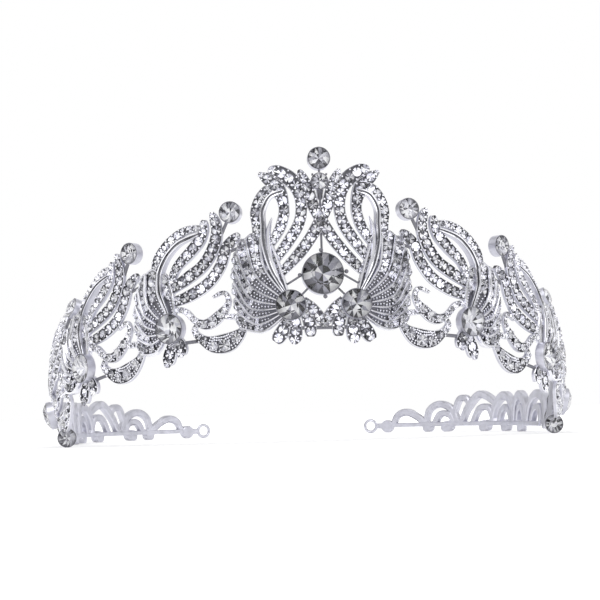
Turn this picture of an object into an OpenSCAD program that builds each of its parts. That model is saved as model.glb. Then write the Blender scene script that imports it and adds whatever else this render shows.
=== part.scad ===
/* [Plan] */
// Half of the outside width where the head goes in
half_width = 69; // [65:0.5:69.5]
// Depth of the round front, from the brow to the widest place
front_depth = 55; // [52:0.5:55]
// Length of the straight stretch at each side
side_length = 52; // [46:0.5:53]
// Depth of the round back beyond the straight stretch
back_depth = 58; // [55:0.5:59]
// Half of the opening between the two end loops
end_half_gap = 28.5; // [28:0.5:31]

/* [Heights] */
// Height of the base wire at the middle of the front
base_height = 30.2; // [29:0.1:31]
// Height of the lower wire of the back band
band_height = 2.6; // [2.4:0.1:3]

/* [Metal] */
// Thickness of the stone-set strands
strand_thick = 1; // [0.9:0.05:1.2]
// Thickness of the polished edges, which stand proud of the strands
edge_thick = 1.4; // [1.3:0.05:1.6]
// Thickness of the plate behind the ridges of a fan
plate_thick = 0.7; // [0.6:0.05:0.8]
// Thickness of the back band
band_thick = 2.7; // [2.4:0.1:2.9]
// Width of the plain link wires
wire_wide = 0.95; // [0.8:0.05:1.2]

/* [Stones] */
// Diameter of the big centre stone
centre_stone = 10; // [9:0.5:10.5]
// Diameter of the hub stone of each motif
hub_stone = 7; // [6.4:0.2:7.2]
// Diameter of the stone on top of each motif
tip_stone = 4.8; // [4.6:0.1:5]
// Diameter of the small stone under the topmost one
second_stone = 3.6; // [3:0.2:4]
// Diameter of the stones in the strands
pave_stone = 1.9; // [1.6:0.1:2]
// Clearance between a stone and its seat
stone_gap = 0.1; // [0.08:0.01:0.15]

/* [Ends] */
// Outside diameter of the end loops
loop_outer = 5; // [4.6:0.1:5.4]
// Bore of the end loops
loop_bore = 3.1; // [2.8:0.1:3.3]
// Thickness of the end loops
loop_thick = 1.2; // [1:0.1:1.5]

/* [Hidden] */

silver = [0.84, 0.85, 0.88];
crystal = [0.8, 0.87, 0.95];

// The plan is half of a symmetric open loop: a front quarter ellipse, a straight side and a back
// arc of an ellipse. Distances s run along it from the middle of the front.
plan_steps = 60;
end_angle = acos(end_half_gap / half_width);
plan_pts = concat(
    [for (i = [0:plan_steps]) let (t = 90 * i / plan_steps)
        [half_width * sin(t), front_depth * (1 - cos(t))]],
    [for (i = [0:plan_steps]) let (t = (end_angle + 8) * i / plan_steps)
        [half_width * cos(t), front_depth + side_length + back_depth * sin(t)]]);
plan_s = [for (i = 0, s = 0; i < len(plan_pts);
    s = s + (i + 1 < len(plan_pts) ? norm(plan_pts[i + 1] - plan_pts[i]) : 0), i = i + 1) s];
x_table = [for (i = [0:len(plan_pts) - 1]) [plan_s[i], plan_pts[i][0]]];
y_table = [for (i = [0:len(plan_pts) - 1]) [plan_s[i], plan_pts[i][1]]];
back_y = front_depth + side_length + back_depth * sin(end_angle);
// Where the end loop's centre lies along the plan
end_s = let (side = [for (i = [plan_steps + 1:len(plan_pts) - 1])
    if (plan_pts[i][0] >= end_half_gap) plan_s[i]]) side[len(side) - 1];

// The model is centred on the middle of its own depth
front_reach = 5.5;
back_reach = 3.44;
y_shift = -(back_y + back_reach - front_reach) / 2;

// The middle of the front leans back over the head: slope by the distance s
slope_table = [[0, -0.058], [20, -0.058], [50, 0], [300, 0]];
// The sides swell outwards between foot and top: the most that they stand out, by the distance s
swell_table = [[0, 0], [58, 0], [80, 3.2], [95, 4.2], [108, 4.2], [125, 1], [140, 0], [300, 0]];
swell_height = 38;
// Height of the foot line that the lean turns about, by the distance s
foot_table = [[0, base_height], [40, 26.7], [70, 17.5], [98, 4.9], [112, 0], [300, 0]];

function plan_at(s) = [sign(s) * lookup(abs(s), x_table), lookup(abs(s), y_table)];
function unit(v) = v / norm(v);
function outward(s) = let (d = 0.6, q = max(abs(s), d), t = unit([lookup(q + d, x_table)
    - lookup(q - d, x_table), lookup(q + d, y_table) - lookup(q - d, y_table)]))
    s == 0 ? [0, -1] : unit([sign(s) * t[1] * min(abs(s) / d, 1), -t[0]]);
function offset_out(s, z) = let (h = z - lookup(abs(s), foot_table), q = z / swell_height)
    h * lookup(abs(s), slope_table) + 4 * lookup(abs(s), swell_table) * q * (1 - q);
function lean(s, z) = atan(lookup(abs(s), slope_table)
    + 4 * lookup(abs(s), swell_table) * (1 - 2 * z / swell_height) / swell_height);
// A place on the tiara: s along the plan, z up, w outwards from the inner face
function at(s, z, w) = let (p = plan_at(s), n = outward(s), r = offset_out(s, z) + w)
    [p[0] + n[0] * r, p[1] + n[1] * r + y_shift, z];

// A motif's frame is [s, z, direction of u, drop, rise]: u runs along the plan and v up. Below the
// line v = low_line the drop squeezes what hangs there, and the rise lifts what lies at +u
low_line = -4;
function squeeze(v, drop) = v < low_line ? low_line + (v - low_line) * drop : v;
function place(o, p) = [o[0] + o[2] * p[0], o[1] + squeeze(p[1], o[3]) + o[4] * p[0]];
function frame_of(s, z, drop = 1) = [s, z, -1, drop, 0];
function raised(o, rise) = [o[0], o[1], o[2], 1, rise];

sides = [frame_of(40.4, base_height + 0.6), frame_of(69.5, base_height - 8.6),
    frame_of(97.5, base_height - 21.3, 0.45)];
// How much the hook and the scroll of each side motif rise towards the middle
side_rises = [0, 0.18, 0.2];
middle = [0, base_height, 1, 1, 0];

// Tables of curves: each row is [u, v, width]
side_strand_a = [[0.3, 7, 1.8], [5.4, 8.6, 2.3], [10.5, 11.7, 2.3], [13.8, 16.2, 2.2], [15.4, 20.8, 2.2],
    [18.8, 24.2, 0.8]];
side_strand_b = [[0, 10.3, 1.8], [4.6, 13.1, 2.4], [9, 16.3, 2.4], [11.9, 21, 2.4], [12.8, 25.6, 2.1],
    [11.5, 30.2, 0.6]];
side_strand_c = [[-0.3, 11.6, 1.3], [1.6, 16, 1.8], [5.6, 20, 2.3], [8.8, 24, 2.1], [9.4, 28.3, 0.8]];
side_band = [[-3.4, 13, 1.3], [-2.9, 15.9, 1.3], [-0.9, 19.4, 1.3], [2.6, 22.6, 1.3], [8, 24.6, 0.9]];
side_rim = [[-5, 15.4, 1.4], [-4, 18.6, 1.9], [-0.9, 22.4, 1.9], [3.6, 25.5, 1.6], [8.8, 26.4, 0.7]];
side_hook = [[0.6, 5, 1.3], [3.8, 4.5, 1.3], [6.6, 1.9, 1.4], [9.8, 0.8, 2.4], [13, 2.7, 2.5],
    [15.7, 6.2, 1.3], [14.6, 8.9, 1], [11.5, 7.8, 0.5]];
side_scroll = [[7.6, 1.4, 0.9], [6.4, -0.7, 1.2], [8.4, -3, 2], [12, -4.5, 3.8], [16, -3.9, 4],
    [19.5, -0.9, 1.7], [18.6, 2.1, 1.3], [14.6, 2.6, 1]];
side_base_wire = [[2.6, -3.9], [8.6, -3.4]];
side_link_wire = [[15.6, 19.4], [20.4, 21.3]];
side_stem = [[13.5, 23.2], [15.4, 27.4]];
side_petals = [[[0.2, -3, 1.5], [-0.8, -7, 2.8], [-1.4, -9.4, 1.4]],
    [[1.8, -2.6, 1.5], [2.5, -5, 2.7], [2.5, -7, 1.3]]];
// The ribs of a fan, from the inner edge round to the lowest: each is a row of [u, v], hub to rim
side_fan = [[[0.9, 3.3], [0.6, 8], [-0.4, 12]],
    [[-0.7, 3.2], [-3.3, 9.4], [-3.4, 14.6]],
    [[-2.2, 2.4], [-6.4, 8.6], [-6, 16]],
    [[-3.1, 1.1], [-8.3, 5.4], [-9.4, 12.4]],
    [[-3.2, -0.5], [-8.2, 1], [-11, 6.2]],
    [[-2.8, -1.7], [-7, -2.8], [-10.8, -0.2]],
    [[-1.8, -2.6], [-4.8, -6.2], [-9, -6.4]]];
// Stones of the hook, the scroll and the petals: [u, v, diameter]
side_spots = [[9, 0.8, 1.7], [11.4, 1.5, 2.5], [13.7, 3.5, 2.1], [11.6, -5, 2.2], [14.6, -4.85, 2.9],
    [17.7, -3, 2.3]];
side_petal_spots = [[-0.9, -7.6, 1.8], [2.5, -5.4, 1.8]];
side_hub = [0, 0];
side_tip = [16.4, 30];

// The middle motif, for its right half
mid_strand_a = [[11.4, 13.4, 1.8], [6.6, 18.3, 2.3], [3, 22.8, 2.4], [0.5, 27, 2.4], [-1.7, 31.1, 2.3],
    [-3.2, 36, 2.3], [-5.2, 40.8, 0.9]];
mid_strand_b = [[12.8, 16.8, 1.8], [8.4, 22.6, 2.3], [5.6, 27.4, 2.3], [5.1, 32.6, 2.3], [6.5, 37.2, 2.9],
    [9.6, 40, 3], [13.4, 41.5, 0.9]];
mid_strand_c = [[13.4, 21.4, 1.6], [10.4, 26.6, 2.2], [9.6, 31.6, 2.2], [11.4, 36.8, 2.9], [15.6, 40.2, 0.9]];
mid_band = [[15, 21.6, 1.2], [15.2, 26.8, 1.2], [15.2, 30.6, 1.2], [13.3, 34.2, 1.2], [9.8, 35.6, 1]];
mid_rim = [[16.8, 22.4, 1.6], [16.8, 26.8, 2.1], [17, 31, 2.2], [14.6, 35.6, 2], [10.4, 37, 1.2]];
mid_fan = [[[9.1, 8.9], [10.4, 13.6], [12.9, 21.4]],
    [[9.7, 8.6], [13.6, 15.4], [14.6, 23]],
    [[10.8, 8.1], [16.9, 14.8], [18.8, 24]],
    [[11.5, 6.8], [18.9, 11.4], [22.2, 20.4]],
    [[11.7, 5.3], [19, 6.6], [23.1, 14.2]],
    [[11.4, 3.9], [18, 2.5], [22.6, 7.6]],
    [[10.3, 2.8], [15.6, -1], [21.4, 0]]];
mid_petals = [[[9, 2.6, 1.5], [11, -1.6, 2.8], [12.6, -3.9, 1.5]],
    [[7.2, 2.6, 1.5], [7.4, -1.8, 2.7], [7.8, -4.2, 1.4]],
    [[5.4, 4.4, 1.5], [3.7, 0.6, 2.5], [3.6, -2.7, 1.4]],
    [[5.2, 7, 1.5], [2.6, 4.2, 2.3], [-0.2, 0.6, 1.8]]];
mid_arms = [[[3.4, 9.9], [5.8, 8]], [[5, 15], [8, 17.4]]];
mid_base_wire = [[-8, -0.4], [8, -0.4]];
mid_stems = [[[0, 34.4], [0, 18.8]], [[0, 0.6], [0, 8.2]], [[0, 41.2], [0, 40.4]]];
mid_spots = [[11.4, -2.1, 1.8], [7.5, -2.4, 1.8], [3.6, -0.8, 1.8]];
mid_hub = [8.4, 5.6];
mid_centre = [0, 13.6];
mid_top = [0, 44.1];
mid_second = [0, 38];

// The back band: each row is [t, z, width], t back from the end loop's centre
end_frame = [end_s, 0, -1, 1, 0];
end_arches = [[[8.2, 2.4, 1.3], [10.4, 6.2, 1.7], [15.6, 6.6, 1.8], [21, 2.4, 1.4]],
    [[20.6, 2.4, 1.5], [22, 7.4, 1.7], [26.4, 9.5, 1.8], [31.4, 7.4, 1.8], [34, 2.4, 1.5]],
    [[23.8, 2.4, 1.5], [26.4, 6, 1.6], [30.4, 5.7, 1.6], [32.4, 2.4, 1.5]],
    [[32.2, 5.6, 1.4], [35.6, 11.4, 1.7], [39.4, 9, 1.5]],
    [[35.2, 2.4, 1.5], [38.6, 8, 1.9], [45, 12.4, 1.9], [54, 9.2, 1.5]],
    [[40.4, 2.4, 1.5], [44, 7.4, 1.6], [49.4, 7.6, 1.7], [52.4, 2.4, 1.5]]];
end_petals = [[[21.3, 3, 2.6], [21.4, -0.3, 1.6]], [[29, 2.8, 4], [29.4, -0.3, 2]],
    [[46.6, 2.8, 4.4], [47, -0.3, 2.6]]];
end_disc = [6, 2.3];
band_wide = 1.15;
side_arch_count = 3;
side_arch_start = 51;
side_arch_length = 20;
side_arch = [[0, 2.4, 1.5], [2.6, 8.6, 2], [8.2, 11.6, 2.2], [14.8, 9.8, 2], [20, 2.4, 1.5]];
side_band_petal = [[9.4, 2.8, 4.4], [9.8, -0.3, 2.4]];
// The round setting that hangs below each end of the front, faces forwards and is its foot
foot_stone = 4.4;
foot_depth = 47.5;
foot_drop = [[6.3, -2.2, 1.6], [6.3, -7.4, 1.6]];
foot_radius = foot_stone / 2 + 0.52;
// The strap that joins the lowest fan to the back band
band_strap = [[-8.8, -3.6, 4], [-10.6, -6.8, 4]];

// A smooth curve through the rows of a table, with as many steps between two rows
curve_steps = 1;
function blend(a, b, c, d, t) = 0.5 * (2 * b + (c - a) * t + (2 * a - 5 * b + 4 * c - d) * t * t
    + (3 * b - a - 3 * c + d) * t * t * t);
function smooth(p) = [for (i = [0:len(p) - 2]) for (k = [0:curve_steps - 1])
    blend(p[max(i - 1, 0)], p[i], p[i + 1], p[min(i + 2, len(p) - 1)], k / curve_steps), p[len(p) - 1]];
function along(p, i) = let (a = p[max(i - 1, 0)], b = p[min(i + 1, len(p) - 1)])
    unit([b[0] - a[0], b[1] - a[1]]);
// The two edges of a curve of varying width
function edges(p) = [for (i = [0:len(p) - 1]) let (t = along(p, i), n = [-t[1], t[0]] * p[i][2] / 2)
    [[p[i][0], p[i][1]] + n, [p[i][0], p[i][1]] - n]];

// A bar between two edges, from w_in to w_out, whose outer face is narrower by the taper
module bar(o, rows, w_in, w_out, taper = 0.82) {
    n = len(rows);
    pts = [for (r = rows) let (a = r[0], b = r[1], m = (a + b) / 2, c = m + (a - m) * taper,
        d = m + (b - m) * taper, pa = place(o, a), pb = place(o, b), pc = place(o, c), pd = place(o, d))
        each [at(pa[0], pa[1], w_in), at(pb[0], pb[1], w_in),
            at(pd[0], pd[1], w_out), at(pc[0], pc[1], w_out)]];
    faces = concat([[3, 2, 1, 0]], [[for (j = [0:3]) 4 * (n - 1) + j]],
        [for (i = [0:n - 2]) for (j = [0:3]) let (k = (j + 1) % 4)
            [4 * i + j, 4 * i + k, 4 * i + 4 + k, 4 * i + 4 + j]]);
    polyhedron(pts, o[2] > 0 ? faces : [for (f = faces) [for (i = [len(f) - 1:-1:0]) f[i]]]);
}
module stroke(o, table, w_in, w_out, taper = 0.82) {
    bar(o, edges(smooth(table)), w_in, w_out, taper);
}
module wire(o, route) {
    bar(o, edges([for (q = route) [q[0], q[1], wire_wide]]), 0.35, 0.35 + wire_wide, 0.7);
}
// Curves that cross stand a little in front of each other, each by one layer more
layer = 0.12;
front_in = 0.3;
function top_of(k) = front_in + strand_thick + k % 3 * layer;
module layers(o, tables) {
    for (k = [0:len(tables) - 1]) stroke(o, tables[k], front_in + k % 4 * layer, top_of(k));
}

// A fan: crests along its ribs, valleys between them, and a scalloped rim
function halfway(a, b, i) = let (m = (a[i] + b[i]) / 2) i < len(a) - 1 ? m
    : m + ((a[i - 1] + b[i - 1]) / 2 - m) * 0.3;
module fan(o, ribs) {
    n = len(ribs[0]);
    last = len(ribs) - 1;
    columns = [for (k = [0:last]) for (half = [0:(k < last ? 1 : 0)])
        [for (i = [0:n - 1]) half == 0 ? ribs[k][i] : halfway(ribs[k], ribs[k + 1], i)]];
    pts = concat(
        [for (k = [0:last]) for (q = ribs[k]) let (r = place(o, q)) at(r[0], r[1], 0.22)],
        [for (k = [0:2 * last]) for (i = [0:n - 1]) let (r = place(o, columns[k][i]))
            at(r[0], r[1], k % 2 == 0 || i == 0 ? edge_thick : plate_thick)]);
    function b(j, i) = j * n + i;
    function f(k, i) = (last + 1 + k) * n + i;
    faces = concat(
        [for (j = [0:last - 1]) for (i = [0:n - 2]) [b(j, i), b(j, i + 1), b(j + 1, i + 1), b(j + 1, i)]],
        [for (k = [0:2 * last - 1]) for (i = [0:n - 2]) [f(k, i), f(k + 1, i), f(k + 1, i + 1), f(k, i + 1)]],
        [for (j = [0:last - 1]) for (i = [0, n - 1]) let (k = 2 * j) for (q = [[b(j, i), f(k, i), f(k + 1, i)],
            [b(j, i), f(k + 1, i), b(j + 1, i)], [b(j + 1, i), f(k + 1, i), f(k + 2, i)]])
            i == 0 ? [q[0], q[2], q[1]] : q],
        [for (i = [0:n - 2]) [b(0, i), f(0, i), f(0, i + 1), b(0, i + 1)]],
        [for (i = [0:n - 2]) [b(last, i), b(last, i + 1), f(2 * last, i + 1), f(2 * last, i)]]);
    polyhedron(pts, [for (q = faces) [for (i = [len(q) - 1:-1:0]) q[i]]]);
}

// Stands its children on the outer face, their Z axis pointing outwards
module on_face(o, p, w = 0) {
    q = place(o, p);
    n = outward(q[0]);
    translate(at(q[0], q[1], w)) rotate([0, 90 + lean(q[0], q[1]), atan2(n[1], n[0])]) children();
}

// A cut stone: flat table, crown and pavilion facets, and a blunt back
crown_part = 0.34;
girdle_part = 0.08;
pavilion_part = 0.36;
table_part = 0.58;
back_part = 0.5;
function seat_depth(d) = (girdle_part + pavilion_part) * d / 2;
module cut_stone(d, facets) {
    r = d / 2 * cos(180 / facets);
    low = (girdle_part + pavilion_part) * r;
    profile = [[-table_part * r, crown_part * r], [table_part * r, crown_part * r], [r, 0],
        [r, -girdle_part * r], [back_part * r, -low], [-back_part * r, -low], [-r, -girdle_part * r], [-r, 0]];
    intersection_for (i = [0:facets / 2 - 1])
        rotate([90, 0, i * 360 / facets]) linear_extrude(2.2 * d, center = true) polygon(profile);
}

// A cup that holds a stone of diameter d with its girdle level with the rim
cup_wall = 0.42;
function cup_height(d) = seat_depth(d) + stone_gap + 0.6;
module cup(d, facets, extra = 0) {
    h = cup_height(d) + extra;
    c = cos(180 / facets);
    translate([0, 0, -extra]) difference() {
        cylinder(h, r1 = d / 2 / c, r2 = (d / 2 + stone_gap + cup_wall) / c, $fn = facets);
        translate([0, 0, -0.01])
            cylinder(h + 0.02, r1 = 0.4 * d / c, r2 = (d / 2 + 2 * stone_gap) / c, $fn = facets);
    }
}
// A short round post along the face
module stem(o, ends) {
    hull() for (p = ends) on_face(o, p, 0.15) cylinder(wire_wide, r = wire_wide / 2, $fn = 4);
}
hub_lift = 1.5;
tip_lift = 0.5;
// The cups on top are deeper than the others by this much
tip_depth = 0.9;
centre_lift = 0.5;

module side_motif(o, rise) {
    low = raised(o, rise);
    layers(o, [side_strand_a, side_strand_b, side_strand_c, side_rim]);
    stroke(o, side_band, -0.15, edge_thick, 0.6);
    layers(low, [side_hook, side_scroll]);
    wire(low, side_base_wire);
    wire(o, side_link_wire);
    layers(o, side_petals);
    fan(o, side_fan);
    stem(o, side_stem);
    on_face(o, side_hub, hub_lift - 0.6) cup(hub_stone, 10);
    on_face(o, side_tip, tip_lift - 0.6) cup(tip_stone, 8, tip_depth);
}

module middle_half() {
    o = middle;
    layers(o, [mid_strand_a, mid_strand_b, mid_strand_c, mid_rim]);
    stroke(o, mid_band, -0.15, edge_thick, 0.6);
    layers(o, mid_petals);
    for (p = mid_arms) wire(o, p);
    fan(o, mid_fan);
    on_face(o, mid_hub, hub_lift - 0.6) cup(hub_stone, 10);
}

module middle_stems() {
    o = middle;
    wire(o, mid_base_wire);
    for (p = mid_stems) stem(o, p);
    on_face(o, mid_centre, centre_lift - 0.6) cup(centre_stone, 12);
    on_face(o, mid_top, tip_lift - 0.6) cup(tip_stone + 0.2, 8, tip_depth);
    on_face(o, mid_second, tip_lift - 0.6) cup(second_stone, 8);
    stroke(o, [[0, 36.4, 2.2], [0, 34.4, 1.6], [0, 33, 0.6]], 0.1, strand_thick);
}

module band_layers(o, tables) {
    for (k = [0:len(tables) - 1])
        stroke(o, [for (q = tables[k]) [q[0], q[1], q[2] * band_wide]], 0.15 + k % 2 * layer,
            band_thick - 0.15 - k % 2 * layer, 0.8);
}
module back_band() {
    o = end_frame;
    last = side_arch_start + side_arch_count * side_arch_length;
    wire_rows = [for (t = [8:10:last + 6]) [t, band_height, 1.4]];
    stroke(o, wire_rows, 0, band_thick, 0.84);
    band_layers(o, concat(end_arches, end_petals));
    for (k = [0:side_arch_count - 1]) {
        t0 = side_arch_start + k * side_arch_length;
        band_layers(o, [for (p = k < 2 ? [side_arch, side_band_petal] : [side_arch])
            [for (q = p) [q[0] + t0, q[1], q[2]]]]);
    }
    on_face(o, end_disc) cylinder(band_thick, r = 2.15, $fn = 8);
    stroke(o, [[loop_outer / 2 + 0.08, loop_outer / 2, 1.8], [5, 2.4, 2]], 0, loop_thick);
}
module foot_place() {
    translate([half_width + 0.6, foot_depth + y_shift, foot_radius - 0.03]) rotate([90, 0, 0]) children();
}
module foot() {
    stroke(raised(sides[2], 0), foot_drop, 0.2, 1.6);
    foot_place() rotate(22.5) cup(foot_stone, 8);
    stroke(raised(sides[2], 0), band_strap, 0.3, 2);
}

module both_sides() {
    children();
    mirror([1, 0, 0]) children();
}

module frame() {
    color(silver) difference() {
        union() {
            both_sides() {
                middle_half();
                for (k = [0:2]) side_motif(sides[k], side_rises[k]);
                foot();
                back_band();
            }
            middle_stems();
        }
        // The feet are flat where they stand
        translate([-100, -100, -8]) cube([200, 200, 8]);
    }
}
module foot_stone_place() {
    color(crystal) foot_place() translate([0, 0, cup_height(foot_stone)]) cut_stone(foot_stone, 12);
}
module end_loop() {
    color(silver) on_face(end_frame, [0, loop_outer / 2]) difference() {
        cylinder(loop_thick, r = loop_outer / 2, $fn = 48);
        translate([0, 0, -1]) cylinder(loop_thick + 2, r = loop_bore / 2, $fn = 48);
    }
}

module stone_on(o, p, lift, d, facets) {
    color(crystal) on_face(o, p, lift - 0.6) translate([0, 0, cup_height(d)]) cut_stone(d, facets);
}

// Places of the small stones along a strand, evenly spaced between its ends
pave_pitch = 3.72;
function run(p) = [for (i = 0, s = 0; i < len(p); s = s + (i + 1 < len(p) ?
    norm([p[i + 1][0] - p[i][0], p[i + 1][1] - p[i][1]]) : 0), i = i + 1) s];
function spots(p, skip_start, skip_end) = let (s = run(p), total = s[len(s) - 1],
    tu = [for (i = [0:len(p) - 1]) [s[i], p[i][0]]], tv = [for (i = [0:len(p) - 1]) [s[i], p[i][1]]],
    n = floor((total - skip_start - skip_end) / pave_pitch))
    [for (k = [0:n]) let (q = skip_start + k * pave_pitch) [lookup(q, tu), lookup(q, tv), pave_stone]];
module small_stones(o, list, k) {
    for (q = list) on_face(o, q, top_of(k)) translate([0, 0, stone_gap + seat_depth(q[2])]) cut_stone(q[2], 8);
}
module side_pave(o, rise) {
    small_stones(o, spots(side_strand_a, 1.8, 3.2), 0);
    small_stones(o, spots(side_strand_b, 2, 3.4), 1);
    small_stones(o, spots(side_strand_c, 1.8, 2.6), 2);
    small_stones(o, spots(side_rim, 1.6, 3), 3);
    small_stones(o, side_petal_spots, 1);
    small_stones(raised(o, rise), side_spots, 1);
}
module middle_pave_half() {
    o = middle;
    small_stones(o, concat(spots(mid_strand_a, 1.8, 20), spots(mid_strand_a, 18.6, 3)), 0);
    small_stones(o, spots(mid_strand_b, 2, 3.4), 1);
    small_stones(o, spots(mid_strand_c, 2, 3), 2);
    small_stones(o, spots(mid_rim, 1.6, 3.6), 3);
    small_stones(o, mid_spots, 2);
}

frame();
end_loop();  // end_loop_right
mirror([1, 0, 0]) end_loop();  // end_loop_left
stone_on(middle, mid_centre, centre_lift, centre_stone, 16);  // stone_centre
stone_on(middle, mid_top, tip_lift, tip_stone + 0.2, 12);  // stone_top
stone_on(middle, mid_second, tip_lift, second_stone, 12);  // stone_second
stone_on(middle, mid_hub, hub_lift, hub_stone, 16);  // stone_hub_right
mirror([1, 0, 0])  // stone_hub_left
    stone_on(middle, mid_hub, hub_lift, hub_stone, 16);
foot_stone_place();  // stone_foot_right
mirror([1, 0, 0]) foot_stone_place();  // stone_foot_left
for (k = [1:3]) {
    o = sides[k - 1];
    stone_on(o, side_hub, hub_lift, hub_stone, 16);
    mirror([1, 0, 0])
        stone_on(o, side_hub, hub_lift, hub_stone, 16);
    stone_on(o, side_tip, tip_lift, tip_stone, 12);
    mirror([1, 0, 0])
        stone_on(o, side_tip, tip_lift, tip_stone, 12);
    color(crystal) side_pave(o, side_rises[k - 1]);
    color(crystal) mirror([1, 0, 0])
        side_pave(o, side_rises[k - 1]);
}
color(crystal) both_sides() middle_pave_half();  // pave_centre
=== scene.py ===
"""The looks of the tiara: rounded metalwork, grains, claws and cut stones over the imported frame."""

from math import acos, atan, cos, hypot, pi, radians, sin

import bmesh
import bpy
import numpy as np
from mathutils import Matrix, Vector


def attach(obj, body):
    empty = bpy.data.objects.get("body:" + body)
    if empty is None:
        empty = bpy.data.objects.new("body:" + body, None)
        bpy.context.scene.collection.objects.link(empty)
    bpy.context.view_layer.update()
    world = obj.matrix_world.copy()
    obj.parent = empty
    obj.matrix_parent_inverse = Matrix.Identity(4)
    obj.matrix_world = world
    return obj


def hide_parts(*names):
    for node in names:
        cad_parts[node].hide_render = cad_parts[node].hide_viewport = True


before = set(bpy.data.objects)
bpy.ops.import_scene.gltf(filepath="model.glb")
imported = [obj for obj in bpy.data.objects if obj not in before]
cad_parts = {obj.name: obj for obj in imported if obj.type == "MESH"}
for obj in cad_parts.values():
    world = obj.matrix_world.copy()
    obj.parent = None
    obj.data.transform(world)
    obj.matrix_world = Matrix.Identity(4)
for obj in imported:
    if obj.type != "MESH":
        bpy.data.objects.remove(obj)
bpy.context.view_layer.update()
MM = 0.001

# Driving sizes of the plan, in millimetres, as in the solids
HALF_WIDTH = 69.0
FRONT_DEPTH = 55.0
SIDE_LENGTH = 52.0
BACK_DEPTH = 58.0
END_HALF_GAP = 28.5
BASE_HEIGHT = 30.2
BAND_HEIGHT = 2.6
# Reach of the metal beyond the plan, at the front and at the back
FRONT_REACH = 5.5
BACK_REACH = 3.44

# Thicknesses of the metal, and where the strands start, outwards from the inner face
STRAND_THICK = 1.0
EDGE_THICK = 1.4
PLATE_THICK = 0.7
BAND_THICK = 2.7
FRONT_IN = 0.3
# Strands that cross lie in this many layers, each this much further out
LAYERS = 3
LAYER = 0.12
# Bars are wider than their rows by these factors
MID_SPREAD = 1.36
SIDE_SPREAD = 1.42
HOOK_SPREAD = 1.24
BAND_WIDE = 1.3
# Ridges in a fan of the middle and of a side
MID_RIBS = 9
SIDE_RIBS = 8
RIDGE_TOP = 2.05
RIDGE_WIDE = 1.0
RIDGE_THIN = 0.45
GROOVE_BACK = -0.15
GROOVE_TOP = 2.0
# Where the ridges, the plate behind them and the pointed leaf start
RIDGE_BACK = 0.25
PLATE_BACK = 0.24
LEAF_BACK = 0.1
# The usual width of a round wire, and where it starts
WIRE = 0.95
WIRE_BACK = 0.35

# Diameters of the stones; the last is the largest in a row
CENTRE_STONE = 10.0
HUB_STONE = 7.0
TIP_STONE = 4.8
TOP_STONE = 5.0
SECOND_STONE = 3.6
FOOT_STONE = 4.4
PAVE_STONE = 2.4

# Cups: clearance, wall, floor, and room for a stone's back as a share of its radius
STONE_GAP = 0.1
CUP_WALL = 0.42
CUP_FLOOR = 0.6
CUP_ROOM = 0.44
# A crown reaches this far over the wall of its cup
CROWN_OVER = 0.3
# Lift of the cups, and how much deeper than its stone a cup is
CENTRE_LIFT = 0.5
HUB_LIFT = 1.5
TIP_LIFT = 0.5
HUB_DEPTH = 0.3
TIP_DEPTH = 0.9
FOOT_DEPTH = 47.5
FOOT_RADIUS = FOOT_STONE / 2 + 0.52
FOOT_OUT = 0.6
FOOT_SINK = 0.03

LOOP_OUTER = 5.0
LOOP_BORE = 3.1
LOOP_THICK = 1.2

# Material numbers in the metal pieces and in the stones
BRIGHT, DARK, MATTE = 0, 1, 2
GLASS, FOIL, PALE = 0, 1, 2

# The plan: a front quarter ellipse, a straight side and a back arc; s runs along it from the middle
PLAN_STEPS = 60
END_ANGLE = acos(END_HALF_GAP / HALF_WIDTH)
# The back arc runs on past the end loops by this angle
PAST_END = radians(8)
# The plan's direction is taken over this length each way
PROBE = 0.6


def plan_table():
    turn = np.linspace(0, pi / 2, PLAN_STEPS + 1)
    front = np.stack([HALF_WIDTH * np.sin(turn), FRONT_DEPTH * (1 - np.cos(turn))], 1)
    turn = np.linspace(0, END_ANGLE + PAST_END, PLAN_STEPS + 1)
    back = np.stack([HALF_WIDTH * np.cos(turn),
                     FRONT_DEPTH + SIDE_LENGTH + BACK_DEPTH * np.sin(turn)], 1)
    points = np.concatenate([front, back])
    run = np.concatenate([[0], np.cumsum(np.linalg.norm(np.diff(points, axis=0), axis=1))])
    return run, points


PLAN_S, PLAN = plan_table()
BACK_Y = FRONT_DEPTH + SIDE_LENGTH + BACK_DEPTH * sin(END_ANGLE)
END_S = max(s for s, p in zip(PLAN_S[PLAN_STEPS + 1:], PLAN[PLAN_STEPS + 1:]) if p[0] >= END_HALF_GAP)
Y_SHIFT = -(BACK_Y + BACK_REACH - FRONT_REACH) / 2

# The lean of the wall, its swell up to a height, and the line of the motifs' feet: (s, value)
SLOPE = ((0, -0.058), (20, -0.058), (50, 0), (300, 0))
SWELL = ((0, 0), (58, 0), (80, 3.2), (95, 4.2), (108, 4.2), (125, 1), (140, 0), (300, 0))
SWELL_HEIGHT = 38.0
FOOT_LINE = ((0, BASE_HEIGHT), (40, 26.7), (70, 17.5), (98, 4.9), (112, 0), (300, 0))


def look(table, s):
    xs, ys = zip(*table)
    return np.interp(np.abs(s), xs, ys)


def plan_at(s):
    q = np.abs(s)
    return np.stack([np.sign(s) * np.interp(q, PLAN_S, PLAN[:, 0]), np.interp(q, PLAN_S, PLAN[:, 1])], -1)


def outward(s):
    """The flat unit vector out of the plan at s."""
    q = np.maximum(np.abs(s), PROBE)
    t = np.stack([np.interp(q + PROBE, PLAN_S, PLAN[:, i]) - np.interp(q - PROBE, PLAN_S, PLAN[:, i])
                  for i in (0, 1)], -1)
    t /= np.linalg.norm(t, axis=-1, keepdims=True)
    n = np.stack([np.sign(s) * t[..., 1] * np.minimum(np.abs(s) / PROBE, 1), -t[..., 0]], -1)
    return n / np.linalg.norm(n, axis=-1, keepdims=True)


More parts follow.
